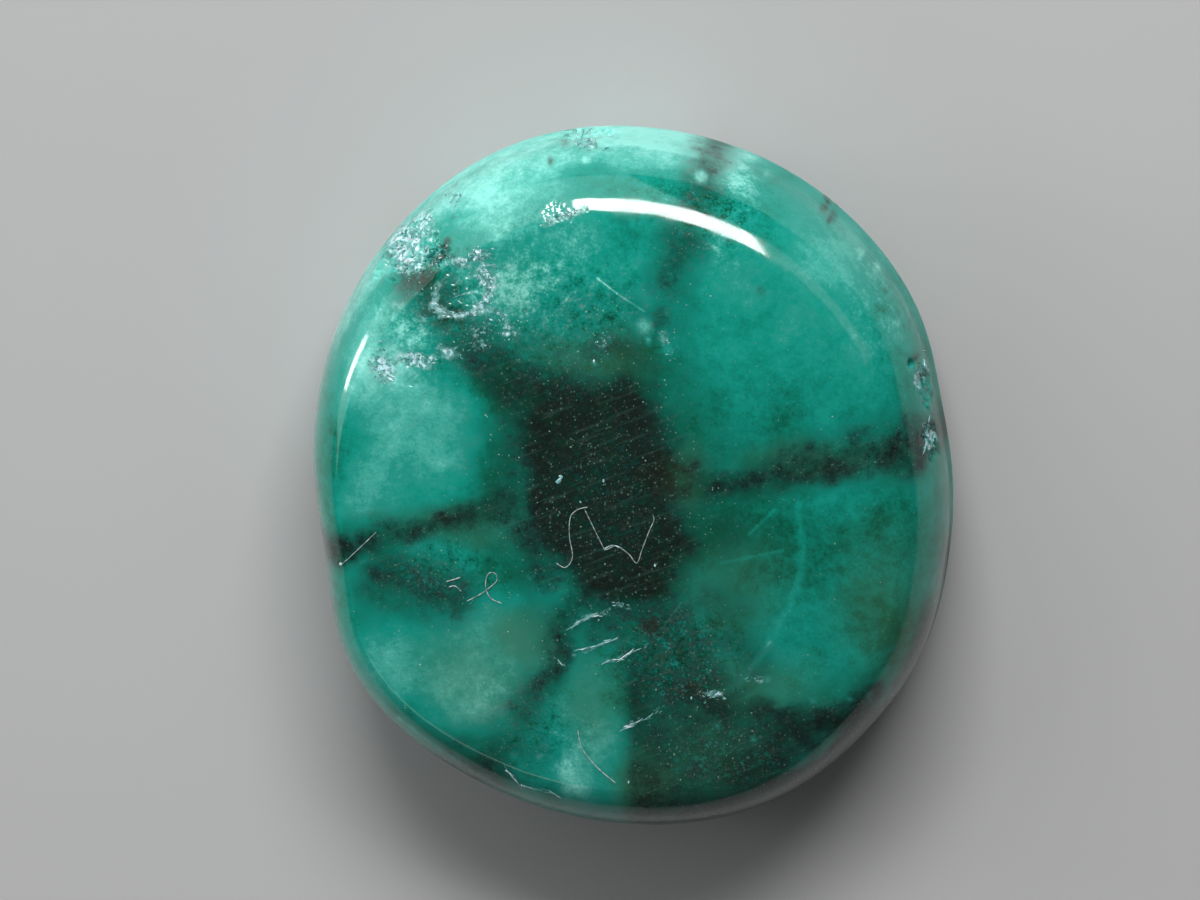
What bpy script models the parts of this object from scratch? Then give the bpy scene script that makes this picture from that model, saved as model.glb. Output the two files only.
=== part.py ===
# A small trapiche emerald, cut and polished as a low round-oval cabochon: one solid stone.
# It lies on its flat back. +Z points out of the domed face, +X to the face's right and +Y to its top.
# The origin is the middle of the stone's box, on the surface that it lies on.

import math

import bmesh
import bpy
from mathutils import Vector

MM = 0.001

# Driving dimensions, in millimetres
THICKNESS = 2.40
GIRDLE_HEIGHT = 0.80  # of the widest line, above the flat back
RIDGE_HEIGHT = 2.15  # of the rounded edge where the shoulder turns into the face
BACK_INSET = 0.50  # from the widest line in to the edge of the flat back
RIDGE_INSET = 0.54  # from the widest line in to the face
RIDGE_INSET_SWING = 0.12  # the shoulder is this much wider at top and bottom, and narrower at the sides
RIDGE_INSET_LEAN = 0.10  # and this much wider at its upper right than at its lower left
RIDGE_LEAN_DEGREES = 45.0
SHOULDER_SQUARENESS = 2.5  # 2 is an ellipse's quarter; more gives a fuller shoulder
SHOULDER_END_DEGREES = 73.0  # how far round its quarter the shoulder runs; 90 would end it level

# Distance from the star's axis to the widest line, every 15 degrees anticlockwise from +X
GIRDLE_RADII = (
    3.22, 3.16, 3.34, 3.40, 3.46, 3.50,
    3.54, 3.58, 3.53, 3.44, 3.36, 3.27,
    3.20, 3.14, 3.43, 3.48, 3.46, 3.50,
    3.53, 3.59, 3.58, 3.46, 3.43, 3.27,
)

# Chips out of the rim: degrees anticlockwise from +X, height above the back, half width and depth
RIM_CHIPS = (
    (133.0, 1.70, 0.50, 0.12),
    (99.5, 1.00, 0.30, 0.06),
    (17.0, 1.45, 0.34, 0.06),
    (6.5, 1.40, 0.26, 0.06),
)

# Resolution of the solid
SIDES = 96
BACK_STEPS = 4
SHOULDER_STEPS = 9
FACE_STEPS = 5
FACE_CENTRE_RADIUS = 0.20  # share of the face's radius at the innermost ring

STONE_COLOUR = (0.010, 0.262, 0.171, 1.0)
STONE_ROUGHNESS = 0.1
STONE_IOR = 1.58


def girdle_radius(angle):
    """Distance to the widest line at an angle: a closed cubic B-spline that smooths the radii."""
    count = len(GIRDLE_RADII)
    place = (angle / math.tau) % 1.0 * count
    index = int(place)
    t = place - index
    before, start, end, after = (GIRDLE_RADII[(index + step) % count] for step in (-1, 0, 1, 2))
    from_before = (1 - t) ** 3
    from_start = 3 * t**3 - 6 * t * t + 4
    from_end = 1 + 3 * t + 3 * t * t - 3 * t**3
    return (from_before * before + from_start * start + from_end * end + t**3 * after) / 6


def ridge_inset(angle):
    lean = RIDGE_INSET_LEAN * math.cos(angle - math.radians(RIDGE_LEAN_DEGREES))
    return RIDGE_INSET - RIDGE_INSET_SWING * math.cos(2 * angle) + lean


def back_levels():
    """Rings from the edge of the flat back out to the widest line, a quarter of an ellipse."""
    for step in range(1, BACK_STEPS + 1):
        turn = step / BACK_STEPS * math.pi / 2
        inset = BACK_INSET * (1 - math.sin(turn))
        height = GIRDLE_HEIGHT * (1 - math.cos(turn))
        yield lambda angle, inset=inset, height=height: (girdle_radius(angle) - inset, height)


def shoulder_levels():
    """Rings from the widest line up over the shoulder to the ridge: most of a superellipse's quarter."""
    power = 2 / SHOULDER_SQUARENESS
    end = math.radians(SHOULDER_END_DEGREES)
    whole_lean = 1 - math.cos(end) ** power
    whole_rise = math.sin(end) ** power
    for step in range(1, SHOULDER_STEPS + 1):
        turn = step / SHOULDER_STEPS * end
        lean = (1 - math.cos(turn) ** power) / whole_lean
        height = GIRDLE_HEIGHT + (RIDGE_HEIGHT - GIRDLE_HEIGHT) * math.sin(turn) ** power / whole_rise
        yield lambda angle, lean=lean, height=height: (
            girdle_radius(angle) - lean * ridge_inset(angle),
            height,
        )


def face_levels():
    """Rings from the ridge in over the low dome of the face."""
    rise = THICKNESS - RIDGE_HEIGHT
    for step in range(1, FACE_STEPS + 1):
        share = 1 - step / FACE_STEPS * (1 - FACE_CENTRE_RADIUS)
        height = RIDGE_HEIGHT + rise * (1 - share * share)
        yield lambda angle, share=share, height=height: (
            (girdle_radius(angle) - ridge_inset(angle)) * share,
            height,
        )


def place_ring(verts, level):
    """Moves a ring's corners out or in along their own directions to a level's radius and height."""
    for vert in verts:
        angle = math.atan2(vert.co.y, vert.co.x)
        radius, height = level(angle)
        vert.co = Vector((radius * math.cos(angle), radius * math.sin(angle), height))


def press_chips(bm):
    """Pushes the rim in at each chip, deepest at its middle."""
    for degrees, height, half_width, depth in RIM_CHIPS:
        angle = math.radians(degrees)
        outward = Vector((math.cos(angle), math.sin(angle), 0.0))
        for vert in bm.verts:
            across = vert.co.dot(Vector((-outward.y, outward.x, 0.0)))
            away = math.hypot(across, vert.co.z - height) / half_width
            if away < 1 and vert.co.dot(outward) > 0:
                reach = girdle_radius(angle) - vert.co.dot(outward)
                if reach < 2 * half_width:
                    vert.co -= outward * depth * (1 - away * away) ** 2


def centre_on_base(bm):
    """Puts the middle of the stone's box over the origin."""
    low = [min(vert.co[axis] for vert in bm.verts) for axis in range(3)]
    high = [max(vert.co[axis] for vert in bm.verts) for axis in range(3)]
    middle = Vector(((low[0] + high[0]) / 2, (low[1] + high[1]) / 2, low[2]))
    bmesh.ops.translate(bm, verts=bm.verts, vec=-middle)


def make_stone():
    bm = bmesh.new()
    bmesh.ops.create_circle(bm, cap_ends=True, segments=SIDES, radius=1.0)
    place_ring(bm.verts, lambda angle: (girdle_radius(angle) - BACK_INSET, 0.0))
    rim = bm.edges[:]
    for level in (*back_levels(), *shoulder_levels(), *face_levels()):
        grown = bmesh.ops.extrude_edge_only(bm, edges=rim)["geom"]
        rim = [part for part in grown if isinstance(part, bmesh.types.BMEdge)]
        place_ring([part for part in grown if isinstance(part, bmesh.types.BMVert)], level)
    bmesh.ops.edgeloop_fill(bm, edges=rim)
    press_chips(bm)
    centre_on_base(bm)
    bmesh.ops.scale(bm, verts=bm.verts, vec=(MM, MM, MM))
    bmesh.ops.recalc_face_normals(bm, faces=bm.faces)
    mesh = bpy.data.meshes.new("emerald")
    bm.to_mesh(mesh)
    bm.free()
    mesh.shade_smooth()
    mesh.set_sharp_from_angle(angle=math.radians(50))
    return mesh


def stone_material():
    material = bpy.data.materials.new("polished_beryl")
    material.use_nodes = True
    shader = material.node_tree.nodes["Principled BSDF"]
    shader.inputs["Base Color"].default_value = STONE_COLOUR
    shader.inputs["Roughness"].default_value = STONE_ROUGHNESS
    shader.inputs["Metallic"].default_value = 0.0
    shader.inputs["IOR"].default_value = STONE_IOR
    return material


def main():
    for item in list(bpy.data.objects):
        bpy.data.objects.remove(item, do_unlink=True)
    stone = bpy.data.objects.new("emerald", make_stone())
    stone.data.materials.append(stone_material())
    bpy.context.scene.collection.objects.link(stone)


main()
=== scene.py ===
# Looks of a small trapiche emerald that lies on its flat back, domed face up, seen from above.
import math
import random

import bmesh
import bpy
import numpy as np
from mathutils import Matrix, Vector, noise
from mathutils.bvhtree import BVHTree


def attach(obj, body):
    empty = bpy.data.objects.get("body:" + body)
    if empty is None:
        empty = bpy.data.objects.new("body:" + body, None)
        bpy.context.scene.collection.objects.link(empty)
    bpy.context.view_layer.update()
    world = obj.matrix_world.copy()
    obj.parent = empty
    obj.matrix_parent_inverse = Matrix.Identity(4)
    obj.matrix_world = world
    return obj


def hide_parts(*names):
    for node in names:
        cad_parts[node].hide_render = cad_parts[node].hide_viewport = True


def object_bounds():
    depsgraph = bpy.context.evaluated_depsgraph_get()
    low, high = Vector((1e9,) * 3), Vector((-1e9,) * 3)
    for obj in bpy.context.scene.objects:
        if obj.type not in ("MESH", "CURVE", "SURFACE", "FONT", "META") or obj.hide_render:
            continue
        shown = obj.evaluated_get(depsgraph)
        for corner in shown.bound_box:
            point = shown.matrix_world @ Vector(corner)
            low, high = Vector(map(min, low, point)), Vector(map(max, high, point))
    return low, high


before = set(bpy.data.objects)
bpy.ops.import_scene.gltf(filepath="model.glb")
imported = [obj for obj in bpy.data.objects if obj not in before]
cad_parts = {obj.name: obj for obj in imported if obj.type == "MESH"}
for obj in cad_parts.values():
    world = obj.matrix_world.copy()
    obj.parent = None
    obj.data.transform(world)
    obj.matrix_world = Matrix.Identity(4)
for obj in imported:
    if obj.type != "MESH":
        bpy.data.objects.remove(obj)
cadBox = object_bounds()
mm = 0.001
noise.seed_set(1357)  # noise_vector would follow the clock otherwise

# Sizes and places below are in millimetres from the star's axis, unless a name or a note says otherwise.
stone = {
    "girdleHeight": 0.80,
    "ridgeHeight": 2.15,
    "thickness": 2.40,
    "backInset": 0.50,
    "ridgeInset": 0.54,
    "ridgeInsetSwing": 0.12,
    "ridgeInsetLean": 0.10,
    "ridgeLeanDegrees": 45.0,
    "shoulderSquareness": 2.5,
    "shoulderEndDegrees": 73.0,
    # distance to the widest line, every 15 degrees anticlockwise from +X
    "girdleRadii": (
        3.22, 3.16, 3.34, 3.40, 3.46, 3.50, 3.54, 3.58, 3.53, 3.44, 3.36, 3.27,
        3.20, 3.14, 3.43, 3.48, 3.46, 3.50, 3.53, 3.59, 3.58, 3.46, 3.43, 3.27,
    ),
    "sides": 500,
    "backRings": 10,
    "sideRings": 9,
    "shoulderRings": 38,
    "faceRings": 80,
    "insideBox": 0.995,      # share of the solid's size that the fine mesh keeps to
    "waveHeight": 0.0035,    # hand-polished waves about 0.8 across
    "rippleHeight": 0.0011,  # and ripples about 0.2 across, fainter on the face
}

# Places where the surface is broken: middle, radius, depth, facet size, rings of finer mesh.
breaks = (
    ((-2.20, 2.44, 1.75), 0.42, 0.060, 0.11, 2),
    ((-1.87, 2.47, 2.10), 0.15, 0.032, 0.05, 2),
    ((-1.58, 2.09, 2.28), 0.34, 0.009, 0.06, 2),
    ((-1.22, 1.78, 2.33), 0.18, 0.005, 0.05, 2),
    ((-2.20, 1.38, 2.20), 0.28, 0.008, 0.06, 2),
    ((-0.45, 3.53, 1.00), 0.30, 0.035, 0.09, 2),
    ((2.90, 1.38, 1.75), 0.10, 0.045, 0.05, 2),
    ((3.00, 1.10, 1.55), 0.22, 0.028, 0.08, 2),
    ((3.02, 0.56, 1.65), 0.22, 0.028, 0.08, 2),
    ((-0.66, 2.84, 2.16), 0.20, 0.004, 0.05, 2),
    ((0.90, -1.92, 2.30), 0.14, 0.006, 0.05, 2),
)


def girdleRadius(angle):
    radii = stone["girdleRadii"]
    place = (angle / math.tau) % 1.0 * len(radii)
    index = int(place)
    t = place - index
    before, start, end, after = (radii[(index + step) % len(radii)] for step in (-1, 0, 1, 2))
    fromStart = 3 * t**3 - 6 * t * t + 4
    fromEnd = 1 + 3 * t + 3 * t * t - 3 * t**3
    return ((1 - t) ** 3 * before + fromStart * start + fromEnd * end + t**3 * after) / 6


def ridgeInset(angle):
    lean = stone["ridgeInsetLean"] * math.cos(angle - math.radians(stone["ridgeLeanDegrees"]))
    return stone["ridgeInset"] - stone["ridgeInsetSwing"] * math.cos(2 * angle) + lean


def profileLevels():
    # One function of the angle for each ring, giving its radius and height: back, lower side, shoulder, face.
    for step in range(1, stone["backRings"]):
        share = step / stone["backRings"]
        yield lambda a, s=share: ((girdleRadius(a) - stone["backInset"]) * s, 0.0)
    for step in range(stone["sideRings"] + 1):
        turn = step / stone["sideRings"] * math.pi / 2
        inset = stone["backInset"] * (1 - math.sin(turn))
        height = stone["girdleHeight"] * (1 - math.cos(turn))
        yield lambda a, i=inset, h=height: (girdleRadius(a) - i, h)
    rise = stone["ridgeHeight"] - stone["girdleHeight"]
    power = 2 / stone["shoulderSquareness"]
    end = math.radians(stone["shoulderEndDegrees"])
    for step in range(1, stone["shoulderRings"] + 1):
        turn = step / stone["shoulderRings"] * end
        lean = (1 - math.cos(turn) ** power) / (1 - math.cos(end) ** power)
        height = stone["girdleHeight"] + rise * (math.sin(turn) / math.sin(end)) ** power
        yield lambda a, n=lean, h=height: (girdleRadius(a) - n * ridgeInset(a), h)
    rise = stone["thickness"] - stone["ridgeHeight"]
    for step in range(1, stone["faceRings"]):
        share = 1 - step / stone["faceRings"]
        height = stone["ridgeHeight"] + rise * (1 - share * share)
        yield lambda a, s=share, h=height: ((girdleRadius(a) - ridgeInset(a)) * s, h)


def placeRing(verts, level):
    for vert in verts:
        angle = math.atan2(vert.co.y, vert.co.x)
        radius, height = level(angle)
        vert.co = Vector((radius * math.cos(angle), radius * math.sin(angle), height))


def facetHeight(point, size):
    # A surface of flat tilted facets about size across, from about -1 to 1.
    centre = noise.voronoi(point / size)[1][0]
    tilt = noise.noise_vector(centre * 17.3) * 2.4
    return (point / size - centre).dot(tilt) + noise.noise(centre * 9.1)


def vertsNear(bm, centre, radius):
    return {vert for vert in bm.verts if (vert.co - centre).length_squared < radius * radius}


def breakOut(bm, centre, radius, depth, facet, finer):
    # The surface drops inside the break, and its floor is facets; the mesh there is made finer first.
    centre = Vector(centre)
    for _ in range(finer):
        near = vertsNear(bm, centre, radius)
        edges = [edge for edge in bm.edges if edge.verts[0] in near and edge.verts[1] in near]
        bmesh.ops.subdivide_edges(bm, edges=edges, cuts=1, use_grid_fill=True)
    moves = []
    for vert in vertsNear(bm, centre, radius):
        away = (vert.co - centre).length / radius
        away += 0.55 * noise.noise(vert.co * 2 / radius) + 0.30 * noise.noise(vert.co * 6 / radius)
        if away < 1:
            floor = min(1.0, (1 - away) * 3)
            moves.append((vert, vert.normal * -depth * floor * (1 + 0.8 * facetHeight(vert.co, facet))))
    for vert, move in moves:
        vert.co += move
    bm.normal_update()


def buildStone():
    bm = bmesh.new()
    bmesh.ops.create_circle(bm, cap_ends=True, segments=stone["sides"], radius=1.0)
    levels = list(profileLevels())
    placeRing(bm.verts, levels[0])
    rim = bm.edges[:]
    for level in levels[1:]:
        grown = bmesh.ops.extrude_edge_only(bm, edges=rim)["geom"]
        rim = [part for part in grown if isinstance(part, bmesh.types.BMEdge)]
        placeRing([part for part in grown if isinstance(part, bmesh.types.BMVert)], level)
    bmesh.ops.edgeloop_fill(bm, edges=rim)
    bmesh.ops.poke(bm, faces=[face for face in bm.faces if len(face.verts) > 4])
    bmesh.ops.recalc_face_normals(bm, faces=bm.faces)
    bm.normal_update()
    for vert in bm.verts:
        if vert.co.z > 0.05:
            calm = 0.35 if vert.normal.z > 0.97 else 1.0
            wave = stone["waveHeight"] * noise.noise(vert.co * 1.25)
            wave += stone["rippleHeight"] * calm * noise.noise(vert.co * 5)
            vert.co += vert.normal * wave
    for row in breaks:
        breakOut(bm, *row)
    bmesh.ops.recalc_face_normals(bm, faces=bm.faces)
    return bm


def fitToFrame(bm):
    # Millimetres to metres, centred over the CAD solid and just inside it, with its back on the floor.
    low = Vector([min(vert.co[axis] for vert in bm.verts) for axis in range(3)])
    high = Vector([max(vert.co[axis] for vert in bm.verts) for axis in range(3)])
    wanted = cadBox[1] - cadBox[0]
    scale = min(wanted[axis] / (high[axis] - low[axis]) for axis in range(3)) * stone["insideBox"]
    middle = (cadBox[0] + cadBox[1]) / 2
    offset = Vector((middle.x, middle.y, cadBox[0].z))
    return scale, offset - scale * Vector(((low.x + high.x) / 2, (low.y + high.y) / 2, low.z))


print("stone")
stoneMesh = buildStone()
scale, axisPoint = fitToFrame(stoneMesh)
stoneTree = BVHTree.FromBMesh(stoneMesh)


def finishPiece(name, bm, material):
    bmesh.ops.scale(bm, verts=bm.verts, vec=(scale, scale, scale))
    bmesh.ops.translate(bm, verts=bm.verts, vec=axisPoint)
    mesh = bpy.data.meshes.new(name)
    bm.to_mesh(mesh)
    bm.free()
    mesh.shade_smooth()
    mesh.materials.append(material)
    piece = bpy.data.objects.new(name, mesh)
    bpy.context.scene.collection.objects.link(piece)
    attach(piece, "root")
    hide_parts("emerald")
    print("  ", name, sum(len(p.vertices) - 2 for p in mesh.polygons), "triangles")
    return piece


# Where the crystal is cracked at its surface.
cracks = {
    # sugary patches: middle, radii, whiteness
    "patches": (
        ((-2.22, 2.48), (0.40, 0.35), 1.15), ((-2.02, 2.70), (0.26, 0.20), 0.9), ((-1.76, 2.92), (0.17, 0.14), 0.55),
        ((-1.43, 2.48), (0.18, 0.12), 1.0), ((-1.66, 2.41), (0.16, 0.11), 0.95), ((-1.40, 2.28), (0.22, 0.18), 0.75),
        ((-2.38, 1.34), (0.22, 0.25), 1.0), ((-2.02, 1.42), (0.38, 0.13), 0.95), ((-1.70, 1.52), (0.20, 0.12), 0.8),
        ((-1.45, 1.66), (0.26, 0.20), 0.4), ((-1.10, 1.74), (0.24, 0.22), 0.35), ((-0.47, 3.51), (0.20, 0.10), 1.0),
        ((2.95, 1.22), (0.09, 0.22), 0.9), ((3.00, 0.58), (0.08, 0.17), 1.0), ((0.92, -1.92), (0.18, 0.08), 0.8),
        ((1.33, -1.76), (0.16, 0.06), 0.6), ((0.45, 1.68), (0.10, 0.16), 0.5), ((-0.20, 1.66), (0.20, 0.16), 0.3),
    ),
    # fissures: corners, width, whiteness
    "lines": (
        (((-1.87, 2.14), (-1.87, 1.96), (-1.77, 1.90), (-1.60, 1.87), (-1.43, 1.92)), 0.09, 0.80),
        (((-1.43, 1.92), (-1.35, 2.07), (-1.30, 2.21), (-1.38, 2.33)), 0.12, 0.80),
        (((-1.36, 1.93), (-1.22, 1.89), (-1.15, 1.81), (-1.16, 1.68)), 0.08, 0.70),
        (((-0.43, 2.95), (-0.53, 2.90), (-0.65, 2.87), (-0.78, 2.78)), 0.06, 0.7),
        (((-0.51, -1.25), (-0.39, -1.17), (-0.27, -1.11)), 0.045, 0.5),
        (((-0.27, -1.11), (-0.15, -1.09), (-0.11, -1.00), (-0.02, -0.97), (0.10, -1.02)), 0.05, 0.45),
        (((-0.50, -1.49), (-0.28, -1.44), (-0.06, -1.35)), 0.05, 0.5),
        (((-0.23, -1.62), (-0.02, -1.56), (0.09, -1.49)), 0.04, 0.45),
        (((0.03, -2.28), (0.19, -2.20), (0.38, -2.10)), 0.04, 0.5),
    ),
}

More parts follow.
